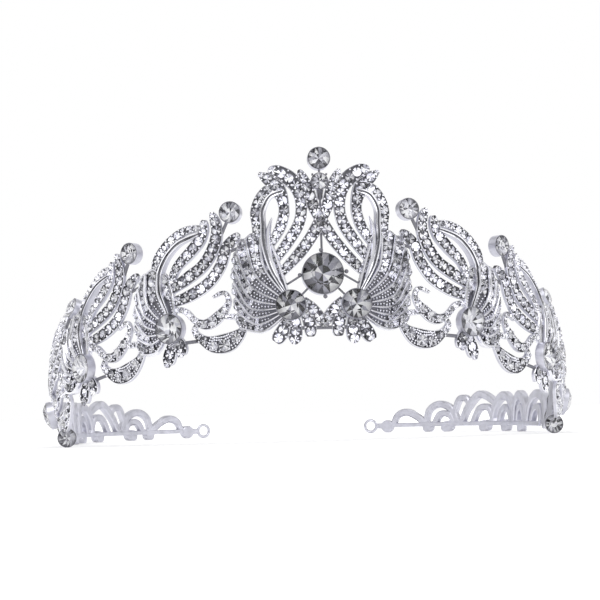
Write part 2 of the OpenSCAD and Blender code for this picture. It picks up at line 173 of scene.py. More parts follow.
def at(s, z, w):
    """Places on the tiara, in millimetres: s along the plan, z up, w outwards from the inner face."""
    s, z, w = np.broadcast_arrays(*(np.asarray(a, float) for a in (s, z, w)))
    q = z / SWELL_HEIGHT
    reach = (z - look(FOOT_LINE, s)) * look(SLOPE, s) + 4 * look(SWELL, s) * q * (1 - q) + w
    flat = plan_at(s) + outward(s) * reach[..., None]
    return np.stack([flat[..., 0], flat[..., 1] + Y_SHIFT, z], -1)


def lean(s, z):
    """The angle of the wall to the upright."""
    return atan(float(look(SLOPE, s)) + 4 * float(look(SWELL, s)) * (1 - 2 * z / SWELL_HEIGHT)
                     / SWELL_HEIGHT)


# Below this v a motif is drawn together by its drop
DROP_LINE = -4.0


class Motif:
    """A motif's frame: u runs along the plan and v up from its hub."""

    def __init__(self, s, z, way=-1, drop=1.0, rise=0.0):
        self.s, self.z, self.way, self.drop, self.rise = s, z, way, drop, rise

    def raised(self, rise):
        return Motif(self.s, self.z, self.way, 1.0, rise)

    def place(self, u, v):
        u = np.asarray(u, float)
        v = np.asarray(v, float)
        v = np.where(v < DROP_LINE, DROP_LINE + (v - DROP_LINE) * self.drop, v)
        return self.s + self.way * u, self.z + v + self.rise * u

    def at(self, u, v, w):
        s, z = self.place(u, v)
        return at(s, z, w)


MIDDLE = Motif(0, BASE_HEIGHT, 1)
SIDES = (Motif(40.4, BASE_HEIGHT + 0.6), Motif(69.5, BASE_HEIGHT - 8.6),
         Motif(97.5, BASE_HEIGHT - 21.3, -1, 0.45))
SIDE_RISES = (0.0, 0.18, 0.2)
END = Motif(END_S, 0)

# Curves of the motifs: each row is (u, v, width)
SIDE_STRANDS = (
    ((0.3, 7, 1.8), (5.4, 8.6, 2.3), (10.5, 11.7, 2.3), (13.8, 16.2, 2.2), (15.4, 20.8, 2.2),
     (18.8, 24.2, 0.8)),
    ((0, 10.3, 1.8), (4.6, 13.1, 2.4), (9, 16.3, 2.4), (11.9, 21, 2.4), (12.8, 25.6, 2.1), (11.5, 30.2, 0.6)),
    ((-0.3, 11.6, 1.3), (1.6, 16, 1.8), (5.6, 20, 2.3), (8.8, 24, 2.1), (9.4, 28.3, 0.8)),
    ((-5, 15.4, 1.4), (-4, 18.6, 1.9), (-0.9, 22.4, 1.9), (3.6, 25.5, 1.6), (8.8, 26.4, 0.7)),
)
SIDE_BAND = ((-0.8, 3.8, 0.9), (-3, 9.2, 1.3), (-3.4, 13, 1.6), (-2.9, 15.9, 1.7), (-0.9, 19.4, 1.6),
             (2.6, 22.6, 1.5), (8, 24.6, 0.9))
SIDE_HOOK = ((0.6, 5, 1.3), (3.8, 4.5, 1.3), (6.6, 1.9, 1.4), (9.8, 0.8, 2.4), (13, 2.7, 2.5),
             (15.7, 6.2, 1.3), (14.6, 8.9, 1), (11.5, 7.8, 0.5))
SIDE_SCROLL = ((7.6, 1.4, 0.9), (6.4, -0.7, 1.2), (8.4, -3, 2), (12, -4.5, 3.8), (16, -3.9, 4),
               (19.5, -0.9, 1.7), (18.6, 2.1, 1.3), (14.6, 2.6, 1))
SIDE_BASE_WIRE = ((2.6, -3.9), (8.6, -3.4))
SIDE_LINK_WIRE = ((15.6, 19.4), (20.4, 21.3))
SIDE_STEM = ((13.5, 23.2), (15.4, 27.4))
SIDE_PETALS = (((0.2, -3, 1.5), (-0.8, -7, 2.8), (-1.4, -9.4, 1.4)),
               ((1.8, -2.6, 1.5), (2.5, -5, 2.7), (2.5, -7, 1.3)))
SIDE_FAN = (((0.9, 3.3), (0.6, 8), (-0.4, 12)), ((-0.7, 3.2), (-3.3, 9.4), (-3.4, 14.6)),
            ((-2.2, 2.4), (-6.4, 8.6), (-6, 16)), ((-3.1, 1.1), (-8.3, 5.4), (-9.4, 12.4)),
            ((-3.2, -0.5), (-8.2, 1), (-11, 6.2)), ((-2.8, -1.7), (-7, -2.8), (-10.8, -0.2)),
            ((-1.8, -2.6), (-4.8, -6.2), (-9, -6.4)))
# Larger stones of hook and scroll: (u, v, diameter)
SIDE_SPOTS = ((9, 0.8, 1.7), (11.4, 1.5, 2.5), (13.7, 3.5, 2.1), (11.6, -5, 2.2), (14.6, -4.85, 2.9),
              (17.7, -3, 2.3))
# Settings: (place, lift, diameter)
SIDE_HUB = ((0, 0), HUB_LIFT, HUB_STONE)
SIDE_TIP = ((16.4, 30), TIP_LIFT, TIP_STONE)

MID_STRANDS = (
    ((11.4, 13.4, 1.8), (6.6, 18.3, 2.3), (3, 22.8, 2.4), (0.5, 27, 2.4), (-1.7, 31.1, 2.3), (-3.2, 36, 2.3),
     (-5.2, 40.8, 0.9)),
    ((12.8, 16.8, 1.8), (8.4, 22.6, 2.3), (5.6, 27.4, 2.3), (5.1, 32.6, 2.3), (6.5, 37.2, 2.9), (9.6, 40, 3),
     (13.4, 41.5, 0.9)),
    ((13.4, 21.4, 1.6), (10.4, 26.6, 2.2), (9.6, 31.6, 2.2), (11.4, 36.8, 2.9), (15.6, 40.2, 0.9)),
    ((16.8, 22.4, 1.6), (16.8, 26.8, 2.1), (17, 31, 2.2), (14.6, 35.6, 2), (10.4, 37, 1.2)),
)
MID_BAND = ((9.8, 9, 0.9), (13.2, 15.2, 1.3), (15, 21.6, 1.6), (15.2, 26.8, 1.6), (15.2, 30.6, 1.6),
            (13.3, 34.2, 1.5), (9.8, 35.6, 1.1))
# The pointed leaf inside the loops
MID_LEAF = ((12.8, 28.6, 0.5), (13.9, 24.6, 1.4), (13.3, 18.6, 1.3), (11.2, 12, 0.9))
MID_FAN = (((9.1, 8.9), (10.4, 13.6), (12.9, 21.4)), ((9.7, 8.6), (13.6, 15.4), (14.6, 23)),
           ((10.8, 8.1), (16.9, 14.8), (18.8, 24)), ((11.5, 6.8), (18.9, 11.4), (22.2, 20.4)),
           ((11.7, 5.3), (19, 6.6), (23.1, 14.2)), ((11.4, 3.9), (18, 2.5), (22.6, 7.6)),
           ((10.3, 2.8), (15.6, -1), (21.4, 0)))
MID_PETALS = (((9, 2.6, 1.5), (11, -1.6, 2.8), (12.6, -3.9, 1.5)),
              ((7.2, 2.6, 1.5), (7.4, -1.8, 2.7), (7.8, -4.2, 1.4)),
              ((5.4, 4.4, 1.5), (3.7, 0.6, 2.5), (3.6, -2.7, 1.4)),
              ((5.2, 7, 1.5), (2.6, 4.2, 2.3), (-0.2, 0.6, 1.8)))
MID_ARMS = (((3.9, 9.9), (5.6, 8.2)), ((5.4, 13.4), (9.6, 10.9)))
MID_BASE_WIRE = ((-8, -0.4), (8, -0.4))
MID_STEMS = (((0, 34.4), (0, 18.8)), ((0, 41.2), (0, 40.4)))
MID_DROP = ((0, 36.4, 2.2), (0, 34.4, 1.6), (0, 33, 0.6))
MID_HUB = ((8.4, 5.6), HUB_LIFT, HUB_STONE)
MID_CENTRE = ((0, 13.6), CENTRE_LIFT, CENTRE_STONE)
MID_TOP = ((0, 44.1), TIP_LIFT, TOP_STONE)
MID_SECOND = ((0, 38), TIP_LIFT, SECOND_STONE)

# The back band: each row is (t, z, width), t back from the end loop's centre
END_ARCHES = (
    ((8.2, 2.4, 1.3), (9.8, 5.8, 1.7), (13.4, 7, 1.9), (17.4, 5.2, 1.7), (21, 2.4, 1.4)),
    ((20.6, 2.4, 1.5), (22, 7.4, 1.7), (26.4, 9.5, 1.8), (31.4, 7.4, 1.8), (34, 2.4, 1.5)),
    ((23.8, 2.4, 1.5), (26.4, 6, 1.6), (30.4, 5.7, 1.6), (32.4, 2.4, 1.5)),
    ((32.2, 5.6, 1.4), (34.4, 10.6, 1.6), (37.6, 11.2, 1.7), (39.4, 9, 1.5)),
    ((35.2, 2.4, 1.5), (38.6, 8, 1.9), (45, 12.4, 1.9), (54, 9.2, 1.5)),
    ((40.4, 2.4, 1.5), (44, 7.4, 1.6), (49.4, 7.6, 1.7), (52.4, 2.4, 1.5)),
)
END_PETALS = (((21.2, 3.6, 1.6), (21.3, 1.6, 3), (21.4, 0.1, 1)),
              ((28.9, 3.6, 2.4), (29.2, 1.7, 4), (29.4, 0.1, 1.6)),
              ((46.5, 3.6, 2.4), (46.8, 1.7, 4.2), (47, 0.1, 1.8)))
END_DISC = (6, 2.3)
DISC_RADIUS = 2.15
# The arches that repeat along the side
SIDE_ARCH = ((0, 2.4, 1.5), (2.6, 8.6, 2), (8.2, 11.6, 2.2), (14.8, 9.8, 2), (20, 2.4, 1.5))
SIDE_ARCH_START = 51.0
SIDE_ARCH_LENGTH = 20.0
SIDE_ARCH_COUNT = 3
SIDE_BAND_PETAL = ((9.3, 3.6, 2.4), (9.6, 1.7, 4.2), (9.8, 0.1, 1.8))
SIDE_INNER_ARCH = ((4.6, 2.4, 1.4), (6.4, 6.2, 1.5), (9.6, 7.8, 1.7), (13.2, 6.4, 1.5), (15.6, 2.4, 1.4))
# The bar above the foot cup, and the strap to the back band
FOOT_DROP = ((6.3, -2.2, 1.6), (6.3, -7.4, 1.6))
BAND_STRAP = ((-8.8, -3.6, 4), (-10.6, -6.8, 4))
# Steps of a fan and of its rim, and the power that eases a curve's last width
FAN_STEPS = 8
RIM_STEPS = 5
TIP_EASE = 2.6


def smooth(rows, steps):
    """A smooth curve through the rows of a table."""
    p = np.array(rows, float)
    if len(p) == 2:
        t = np.linspace(0, 1, steps + 1)[:, None]
        return p[0] * (1 - t) + p[1] * t
    out = []
    for i in range(len(p) - 1):
        a, b, c, d = p[max(i - 1, 0)], p[i], p[i + 1], p[min(i + 2, len(p) - 1)]
        for k in range(steps):
            t = k / steps
            out.append(0.5 * (2 * b + (c - a) * t + (2 * a - 5 * b + 4 * c - d) * t * t
                              + (3 * b - a - 3 * c + d) * t ** 3))
    out.append(p[-1])
    curve = np.array(out)
    ease = np.linspace(0, 1, steps + 1) ** TIP_EASE
    curve[-steps - 1:, 2] = p[-2][2] * (1 - ease) + p[-1][2] * ease
    return curve


def across(points):
    """The unit vector across a flat curve at each of its points."""
    t = np.gradient(points[:, :2], axis=0)
    t /= np.linalg.norm(t, axis=1, keepdims=True)
    return np.stack([-t[:, 1], t[:, 0]], 1)


def lengths(curve):
    """The distance of each point of a flat curve from its start."""
    return np.concatenate([[0], np.cumsum(np.linalg.norm(np.diff(curve[:, :2], axis=0), axis=1))])


# Metal is smooth up to this angle; stones keep every facet flat
SHARP_EDGE = 35.0
FLAT = 0


def along(q, run, curve):
    """The place and the width of a curve at the distance q from its start."""
    return tuple(float(np.interp(q, run, curve[:, i])) for i in range(3))


def full_turn(count):
    return np.linspace(0, 2 * pi, count, endpoint=False)


def new_object(name, data):
    obj = bpy.data.objects.new(name, data)
    bpy.context.scene.collection.objects.link(obj)
    return obj


class Shape:
    """Collects a mesh in millimetres, with a material number for each face."""

    def __init__(self):
        self.points, self.faces, self.marks, self.count = [], [], [], 0

    def add(self, points, faces, marks):
        points = np.asarray(points, float).reshape(-1, 3)
        self.points.append(points)
        self.faces += [[i + self.count for i in f] for f in faces]
        self.marks += marks
        self.count += len(points)

    def loft(self, rings, marks):
        """Joins closed rings of points, one after another, and closes both ends."""
        rings = np.asarray(rings, float)
        n, m = rings.shape[:2]
        faces = [[i * m + j, i * m + (j + 1) % m, (i + 1) * m + (j + 1) % m, (i + 1) * m + j]
                 for i in range(n - 1) for j in range(m)]
        kinds = [marks[j] for _ in range(n - 1) for j in range(m)]
        faces += [list(range(m)), [(n - 1) * m + j for j in range(m)]]
        self.add(rings.reshape(-1, 3), faces, kinds + [BRIGHT, BRIGHT])

    def mirrored(self):
        other = Shape()
        other.points = [points * [-1, 1, 1] for points in self.points]
        other.faces = [f[::-1] for f in self.faces]
        other.marks = list(self.marks)
        other.count = self.count
        return other

    def sided(self, flip):
        return self.mirrored() if flip else self

    def merge(self, other):
        self.faces += [[i + self.count for i in f] for f in other.faces]
        self.points += other.points
        self.marks += other.marks
        self.count += other.count

    def piece(self, name, materials, slot, nodes=(), sharp=SHARP_EDGE):
        """Makes the object, lets it ride with the tiara and stand for the given solids."""
        mesh = bpy.data.meshes.new(name)
        points = np.concatenate(self.points) * MM
        points[:, 2] = np.maximum(points[:, 2], 0)
        mesh.from_pydata(points.tolist(), [], self.faces)
        mesh.polygons.foreach_set("material_index", self.marks)
        for material in materials:
            mesh.materials.append(material)
        work = bmesh.new()
        work.from_mesh(mesh)
        bmesh.ops.recalc_face_normals(work, faces=work.faces)
        work.to_mesh(mesh)
        work.free()
        if sharp:
            mesh.polygons.foreach_set("use_smooth", [True] * len(mesh.polygons))
            mesh.set_sharp_from_angle(angle=radians(sharp))
        obj = new_object(name, mesh)
        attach(obj, "root")
        if nodes:
            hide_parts(*nodes)


# A strand's rails, and the floor between them
RAIL = 0.2
RAIL_EDGE = 0.16
RAIL_SHARE = 0.3
RAIL_SLOPE = 0.06
CHANNEL_DEPTH = 0.8
CHANNEL_FLOOR = 0.12
CHANNEL_FOOT = 0.84
# Rows of (share of the half width, share of the height, or depth below the top)
RIDGE_ROWS = ((0.9, 0), (1, 0.45), (0.82, 0.8), (0.42, 0.97))
GROOVE_SIDE = ((0.9, 0), (1, 0.7))
GROOVE_ROWS = ((0.86, 0.08), (0.66, 0), (0.34, 0.08), (0.22, 0.4))
# The edge of a plate, and its most as shares of the half width and of the height
PLATE_EDGE = 0.4
EDGE_ACROSS = 0.34
EDGE_UP = 0.3
ROUND_TURNS = 10


def both_halves(right):
    return right + [(-a, w) for a, w in reversed(right)]


def channel_section(half, low, top):
    """A strand: two polished rails with a darkened floor between them for the stones; the floor is painted
    shade in the recess.
    """
    rail = min(RAIL, RAIL_SHARE * half)
    floor = max(low + CHANNEL_FLOOR, top - CHANNEL_DEPTH)
    edge = min(RAIL_EDGE, RAIL_SHARE * half)
    return both_halves([(CHANNEL_FOOT * half, low), (half, low + edge), (half, top - edge),
                        (half - 0.5 * edge, top), (half - rail, top), (half - rail - RAIL_SLOPE, floor)])


def ridge_section(half, low, top):
    """A rounded polished ridge."""
    return both_halves([(a * half, low + h * (top - low)) for a, h in RIDGE_ROWS])


def groove_section(half, low, top):
    """Two rounded ridges with a dark groove between them, painted shade in the recess."""
    side = [(a * half, low + h * (top - low)) for a, h in GROOVE_SIDE]
    return both_halves(side + [(a * half, top - deep) for a, deep in GROOVE_ROWS])


def plate_section(half, low, top):
    """A flat cast bar with softened edges and a matte back."""
    edge = min(PLATE_EDGE, EDGE_ACROSS * half, EDGE_UP * (top - low))
    return both_halves([(half - edge, low), (half, low + edge), (half, top - edge), (half - edge, top)])


def round_section(half, low, top):
    return [(half * cos(t), (low + top) / 2 + (top - low) / 2 * sin(t)) for t in full_turn(ROUND_TURNS)]


# Each form is its section and the materials of the faces round it
# DARK faces on the floors of channels and grooves and on a channel's back edges are painted shade; the round
# wires are dark all round.
CHANNEL = (channel_section, [DARK, MATTE] + [BRIGHT] * 2 + [DARK] * 3 + [BRIGHT] * 2 + [MATTE, DARK, MATTE])
RIDGE = (ridge_section, [BRIGHT] * 7 + [MATTE])
GROOVE = (groove_section, [MATTE] * 2 + [BRIGHT] * 2 + [DARK] * 3 + [BRIGHT] * 2 + [MATTE] * 3)
PLATE = (plate_section, [MATTE] * 2 + [BRIGHT] * 3 + [MATTE] * 3)
ROUND = (round_section, [DARK] * ROUND_TURNS)
LEAST_WIDTH = 0.3


def sweep(shape, motif, rows, form, low, top, steps=7):
    """Draws a bar of the given form along a table's curve."""
    section, marks = form
    curve = smooth(rows, steps)
    rings = []
    for (u, v, width), n in zip(curve, across(curve)):
        ring = np.array([(u + n[0] * a, v + n[1] * a, w)
                         for a, w in section(max(width, LEAST_WIDTH) / 2, low, top)])
        rings.append(motif.at(ring[:, 0], ring[:, 1], ring[:, 2]))
    shape.loft(rings, marks)
    return curve


def wire(shape, motif, route, width=WIRE):
    sweep(shape, motif, [(u, v, width) for u, v in route], ROUND, WIRE_BACK, WIRE_BACK + width)


def seat(motif, spot, w):
    """The place and the axes of a setting: across, up the face, and outwards."""
    s, z = motif.place(spot[0], spot[1])
    tilt = lean(float(s), float(z))
    n = outward(s)
    out = np.array([cos(tilt) * n[0], cos(tilt) * n[1], -sin(tilt)])
    down = np.array([-sin(tilt) * n[0], -sin(tilt) * n[1], -cos(tilt)])
    return at(s, z, w), np.cross(out, down), -down, out


def turned(shape, axes, profile, marks, count, closed=True):
    """A body of revolution from (radius, height) rows; closed joins the last row to the first."""
    origin, x, y, out = axes
    rings = [[origin + (x * cos(t) + y * sin(t)) * r + out * h for t in full_turn(count)] for r, h in profile]
    m = len(profile)
    last = m if closed else m - 1
    faces = [[i * count + j, i * count + (j + 1) % count, (i + 1) % m * count + (j + 1) % count,
              (i + 1) % m * count + j] for i in range(last) for j in range(count)]
    kinds = [marks[i] for i in range(last) for _ in range(count)]
    if not closed:
        faces += [list(range(count)), [(m - 1) * count + j for j in range(count)]]
        kinds += [marks[0], marks[-1]]
    shape.add(rings, faces, kinds)


# A grain's sides, the angles of its rings, and its root as a share of the radius
BEAD_TURNS = 8
BEAD_ROWS = (0.0, 0.55, 1.1)
BEAD_ROOT = 0.6


def bead(shape, axes, radius, mark=BRIGHT, spot=(0.0, 0.0), lift=0.0):
    """A small domed grain that stands on the face."""
    origin, x, y, out = axes
    centre = origin + x * spot[0] + y * spot[1] + out * lift
    points = [centre - out * radius * BEAD_ROOT]
    n = BEAD_TURNS
    for row in BEAD_ROWS:
        for t in (2 * pi * j / n for j in range(n)):
            points.append(centre + (x * cos(t) + y * sin(t)) * radius * cos(row) + out * radius * sin(row))
    points.append(centre + out * radius)
    faces = [[0, 1 + (j + 1) % n, 1 + j] for j in range(n)]
    faces += [[1 + i * n + j, 1 + i * n + (j + 1) % n, 1 + (i + 1) * n + (j + 1) % n, 1 + (i + 1) * n + j]
              for i in range(len(BEAD_ROWS) - 1) for j in range(n)]
    top = len(points) - 1
    start = 1 + (len(BEAD_ROWS) - 1) * n
    faces += [[start + j, start + (j + 1) % n, top] for j in range(n)]
    shape.add(points, faces, [mark] * len(faces))


def cup_height(d):
    return CUP_ROOM * d / 2 + STONE_GAP + CUP_FLOOR


def stone_seat(motif, spot, lift, d):
    """The seat of a stone in a cup, at the stone's widest edge."""
    return seat(motif, spot, lift - CUP_FLOOR + cup_height(d))


# A cup in rows of (inset, height): back edge, lip, and inside, narrower at the back
CUP_BACK = ((0.2, 0), (0.03, 0.15))
CUP_LIP = ((0, -0.2), (0.04, 0.02), (0.1, 0.06))
CUP_INSIDE = ((0.04, 0.05), (0, -0.05), (0, -0.3))
CUP_NARROW = 0.62


def bezel(shape, axes, d, depth):
    """A plain round cup, open at the back, whose thin lip closes over the edge of the stone; the lip and
    inside are dark, painted shade round the stone.
    """
    r = d / 2 + CROWN_OVER
    outer = d / 2 + STONE_GAP + CUP_WALL
    profile = ([(outer - a, -depth + h) for a, h in CUP_BACK] + [(outer - a, h) for a, h in CUP_LIP]
               + [(r - a, h) for a, h in CUP_INSIDE] + [(CUP_NARROW * r, -depth)])
    turned(shape, axes, profile, [MATTE] * 3 + [DARK] * 5 + [MATTE], count=40)


def cup(shape, motif, spot, lift, d, deeper=0.0):
    """A cup on a motif; it gives back its seat."""
    axes = stone_seat(motif, spot, lift, d)
    bezel(shape, axes, d, cup_height(d) + deeper)
    return axes


# Claws; their post is rows of (share of the radius, height)
CLAW_COUNT = 4
CLAW_OFF = 0.5
CLAW_POST = ((0.6, -1.4), (0.6, -0.2))


def claws(shape, axes, d, turn, radius):
    """Short posts beside a cup, each with a round head level with the edge of the stone."""
    origin, x, y, out = axes
    for k in range(CLAW_COUNT):
        t = turn + 2 * pi * k / CLAW_COUNT
        reach = d / 2 + CLAW_OFF + radius
        base = (origin + x * (reach * cos(t)) + y * (reach * sin(t)), x, y, out)
        post = [(share * radius, h) for share, h in CLAW_POST]
        turned(shape, base, post, [DARK] * 2, count=10, closed=False)
        bead(shape, base, radius, DARK, lift=-0.05)


# The cut, as shares of the radius
CROWN = 0.34
TABLE = 0.56
PAVILION = 0.5
GIRDLE = 0.06
KITE_PLACE = 0.52
# Depth of a large stone's inner star in its pavilion
STAR_SINK = 0.92


def cut_stone(shape, axes, d, turns=8, spin=0.0, heart=0.0, foil=FOIL):
    """A round cut: table, kite and girdle facets over a foiled back; heart sizes the star inside."""
    origin, x, y, out = axes
    r = d / 2

    def ring(count, radius, height, offset):
        return [origin + (x * cos(t) + y * sin(t)) * radius + out * height
                for t in (spin + 2 * pi * (j + offset) / count for j in range(count))]

    table_r = TABLE * r
    mid_r = KITE_PLACE * (table_r + r)
    crown_h = CROWN * r
    mid_h = crown_h * (r - mid_r * cos(pi / turns)) / (r - table_r)
    girdle = GIRDLE * r
    n = turns
    points = (ring(n, table_r, crown_h, 0) + ring(n, mid_r, mid_h, 0.5) + ring(2 * n, r, 0, 0)
              + ring(2 * n, r, -girdle, 0) + [origin - out * (girdle + PAVILION * r)])
    mid, top, low, culet = n, 2 * n, 4 * n, 6 * n
    faces = [list(range(n))]
    faces += [[i, (i + 1) % n, mid + i] for i in range(n)]
    faces += [[i, mid + (i - 1) % n, top + 2 * i, mid + i] for i in range(n)]
    faces += [[mid + i, top + 2 * i, top + 2 * i + 1] for i in range(n)]
    faces += [[mid + i, top + 2 * i + 1, top + (2 * i + 2) % (2 * n)] for i in range(n)]
    glass = len(faces)
    faces += [[top + j, low + j, low + (j + 1) % (2 * n), top + (j + 1) % (2 * n)] for j in range(2 * n)]
    if heart:
        star = culet + 1
        points += ring(n, heart * r, -girdle - STAR_SINK * (1 - heart) * PAVILION * r, 0.5)
        faces += [[low + 2 * j, star + (j - 1) % n, star + j, low + 2 * j + 1] for j in range(n)]
        faces += [[low + 2 * j + 1, star + j, low + (2 * j + 2) % (2 * n)] for j in range(n)]
        faces += [[star + j, culet, star + (j + 1) % n] for j in range(n)]
    else:
        faces += [[low + j, culet, low + (j + 1) % (2 * n)] for j in range(2 * n)]
    shape.add(points, faces, [GLASS] * glass + [foil] * (len(faces) - glass))


# Bare lengths at the two ends of a row of stones
HOOK_ENDS = (0.4, 0.5)
PETAL_ENDS = (0.5, 0.3)
# Stones in a row: share of its width (read ahead), gap, rise, and turn by length
ROW_SHARE = 0.78
ROW_AHEAD = 0.5
ROW_GAP = 0.05
ROW_RISE = 0.02
STONE_TURN = 2.4
# Distance from a larger stone as a share of both diameters, and the step past it
APART = 0.48
ROW_STEP = 0.25
# A narrow place takes a grain instead of a stone
LEAST_STONE = 0.8
SEED_SHARE = 0.55
LEAST_SEED = 0.22
SEED_SINK = 0.3
# The pair of grains in a notch beside a stone of at least this size
LEAST_NOTCHED = 1.1
NOTCH_BACK = 0.03
NOTCH_ASIDE = 0.37
NOTCH_RISE = 0.04


def top_of(k):
    return FRONT_IN + STRAND_THICK + k % LAYERS * LAYER


def fill_row(metal, stones, motif, curve, top, ends, taken):
    """Stones that fill a channel, graduated with its width, and a pair of grains in each notch."""
    placed = []
    run = lengths(curve)
    side = across(curve)
    q, stop = ends
    first = True
    while q < run[-1] - stop:
        d = min(ROW_SHARE * along(q + ROW_AHEAD, run, curve)[2], PAVE_STONE)
        u, v, _ = along(q + d / 2, run, curve)
        if any(hypot(u - a, v - b) < APART * (d + size) for a, b, size in taken):
            q += ROW_STEP
            first = True
            continue
        if d > LEAST_STONE:
            cut_stone(stones, seat(motif, (u, v), top + ROW_RISE), d, spin=STONE_TURN * q)
        else:
            bead(metal, seat(motif, (u, v), top - SEED_SINK), max(SEED_SHARE * d, LEAST_SEED), lift=0.1)
        placed.append((u, v, d))
        if not first and d > LEAST_NOTCHED:
            a, b, width = along(q - NOTCH_BACK, run, curve)
            n = side[int(np.argmin(abs(run - q)))]
            for way in (-NOTCH_ASIDE * width, NOTCH_ASIDE * width):
                bead(metal, seat(motif, (a + n[0] * way, b + n[1] * way), top + NOTCH_RISE), radius=0.31)
        first = False
        q += d + ROW_GAP
    return placed


def strand(metal, stones, motif, rows, top, spread, ends=(0.4, 0.9), taken=()):
    """A set strand or leaf: the channelled bar and the stones and grains that fill it."""
    wide = [(u, v, width * spread) for u, v, width in rows]
    curve = sweep(metal, motif, wide, CHANNEL, RIDGE_BACK, top)
    return curve, fill_row(metal, stones, motif, curve, top, ends, taken)


def family(ribs, count):
    """The ribs of a fan, evenly spaced along its rim, from the few that lead them."""
    levels = [smooth([(*rib[i], 0) for rib in ribs], FAN_STEPS) for i in range(3)]
    run = lengths(levels[-1])
    return [[along(q, run, level)[:2] for level in levels] for q in np.linspace(0, run[-1], count)]


# A channel starts here, and holds stones from this share of its length
CHANNEL_START = 0.9
STONES_FROM = 0.42
# Least room for a stone, grains beside it, a pair of stones, one grain, and two
STONE_ROOM = 0.9
BESIDE_ROOM = 1.3
PAIR_ROOM = 3.0
GRAIN_ROOM = 0.35
TWO_ROOM = 1.15
# Places across a channel
MIDDLE_PLACE = (0.5,)
PAIR_PLACES = (0.34, 0.66)
BESIDE_PLACES = (0.27, 0.73)
TWO_PLACES = (0.32, 0.68)
# Shares of the room, and what a stone of a pair adds
STONE_SHARE = 0.97
PAIR_SHARE = 0.5
PAIR_OVER = 0.1
# Rise over the plate, and size and pitch of the grains
FAN_RISE = 0.5
BESIDE_RISE = 0.48
LARGEST_GRAIN = 0.58
FAN_PITCH = 0.84


def fill_channel(metal, stones, motif, a, b, stop):
    """Round grains near the hub and a row of stones with grains beside it towards the rim."""
    run = lengths((a + b) / 2)
    gap = np.linalg.norm((a - b)[:, :2], axis=1)

    def place(q, part, rise):
        spot = [np.interp(q, run, a[:, i]) * (1 - part) + np.interp(q, run, b[:, i]) * part for i in (0, 1)]
        return seat(motif, spot, PLATE_THICK + rise)

    q = CHANNEL_START
    while q < run[-1] - stop:
        room = float(np.interp(q, run, gap)) - RIDGE_WIDE
        if q > STONES_FROM * run[-1] and room > STONE_ROOM:
            pair = room > PAIR_ROOM
            size = PAIR_SHARE * room + PAIR_OVER if pair else min(STONE_SHARE * room, PAVE_STONE)
            for part in PAIR_PLACES if pair else MIDDLE_PLACE:
                cut_stone(stones, place(q + size / 2, part, FAN_RISE), size, spin=STONE_TURN * q)
            if room > BESIDE_ROOM:
                for part in BESIDE_PLACES:
                    bead(metal, place(q, part, BESIDE_RISE), radius=0.28)
            q += size + ROW_GAP
        else:
            parts = TWO_PLACES if room > TWO_ROOM else MIDDLE_PLACE
            for part in parts if room > GRAIN_ROOM else ():
                bead(metal, place(q, part, 0), min(room / len(parts), LARGEST_GRAIN) / 2, lift=0.1)
            q += FAN_PITCH


# A ridge swells as a sine over this part of a half turn
SWELL_START = 0.1
SWELL_SPAN = 0.65
FLOOR_HOLLOW = 0.12
# A scallop's height as a share of the gap between ridges, and the width of its edge
SCALLOP = 0.3
RIM_WIDE = 0.7
# Its stone: free room, place, rise, and length taken from the row behind
RIM_ROOM = 0.8
RIM_AHEAD = 0.22
RIM_RISE = 0.6
RIM_TAKES = 1.02


def fan(metal, stones, motif, ribs, count):
    """Polished ridges, channels of grains and stones between them, and scallops with a stone each."""
    curves = [smooth([(u, v, 0) for u, v in rib], FAN_STEPS) for rib in family(ribs, count)]
    n = len(curves[0])
    more = RIDGE_WIDE - RIDGE_THIN
    swell = [RIDGE_THIN + more * sin(pi * (SWELL_START + SWELL_SPAN * i / (n - 1))) for i in range(n)]
    for curve in curves:
        rows = [(u, v, width) for (u, v, _), width in zip(curve, swell)]
        sweep(metal, motif, rows, RIDGE, RIDGE_BACK, RIDGE_TOP, 1)
    for a, b in zip(curves, curves[1:]):
        mid = (a + b) / 2
        gap = float(np.linalg.norm((a[-1] - b[-1])[:2]))
        ahead = (mid[-1] - mid[-3]) / np.linalg.norm((mid[-1] - mid[-3])[:2])
        tip = mid[-1] + ahead * SCALLOP * gap
        rings = []
        for i in range(n):
            corners = np.array([a[i], mid[i], b[i], b[i], mid[i], a[i]])
            heights = [PLATE_THICK, PLATE_THICK - FLOOR_HOLLOW, PLATE_THICK] + [PLATE_BACK] * 3
            rings.append(motif.at(corners[:, 0], corners[:, 1], heights))
        # The channel floors between the ridges are dark, painted shade in the recess.
        metal.loft(rings, [DARK, DARK, BRIGHT, MATTE, MATTE, BRIGHT])
        rim = [(p[0], p[1], RIM_WIDE) for p in (a[-1], tip, b[-1])]
        arc = smooth(rim, RIM_STEPS)
        metal.loft([motif.at(arc[:, 0], arc[:, 1], w) for w in (PLATE_BACK, PLATE_THICK)], [MATTE] * len(arc))
        sweep(metal, motif, rim, RIDGE, RIDGE_BACK, EDGE_THICK, RIM_STEPS)
        size = min(gap - RIM_ROOM, PAVE_STONE)
        heart = mid[-1] + ahead * (RIM_AHEAD * gap - 0.5 * size)
        cut_stone(stones, seat(motif, heart[:2], PLATE_THICK + RIM_RISE), size, spin=gap)
        fill_channel(metal, stones, motif, a, b, RIM_TAKES * size)


# Grains on the floor of a leaf
FLOOR_PITCH = 0.72
FLOOR_SINK = 0.25
FLOOR_ENDS = (0.6, 0.4)
FLOOR_EDGE = 0.45
FLOOR_LEAST = 0.3
CLEAR = 0.2


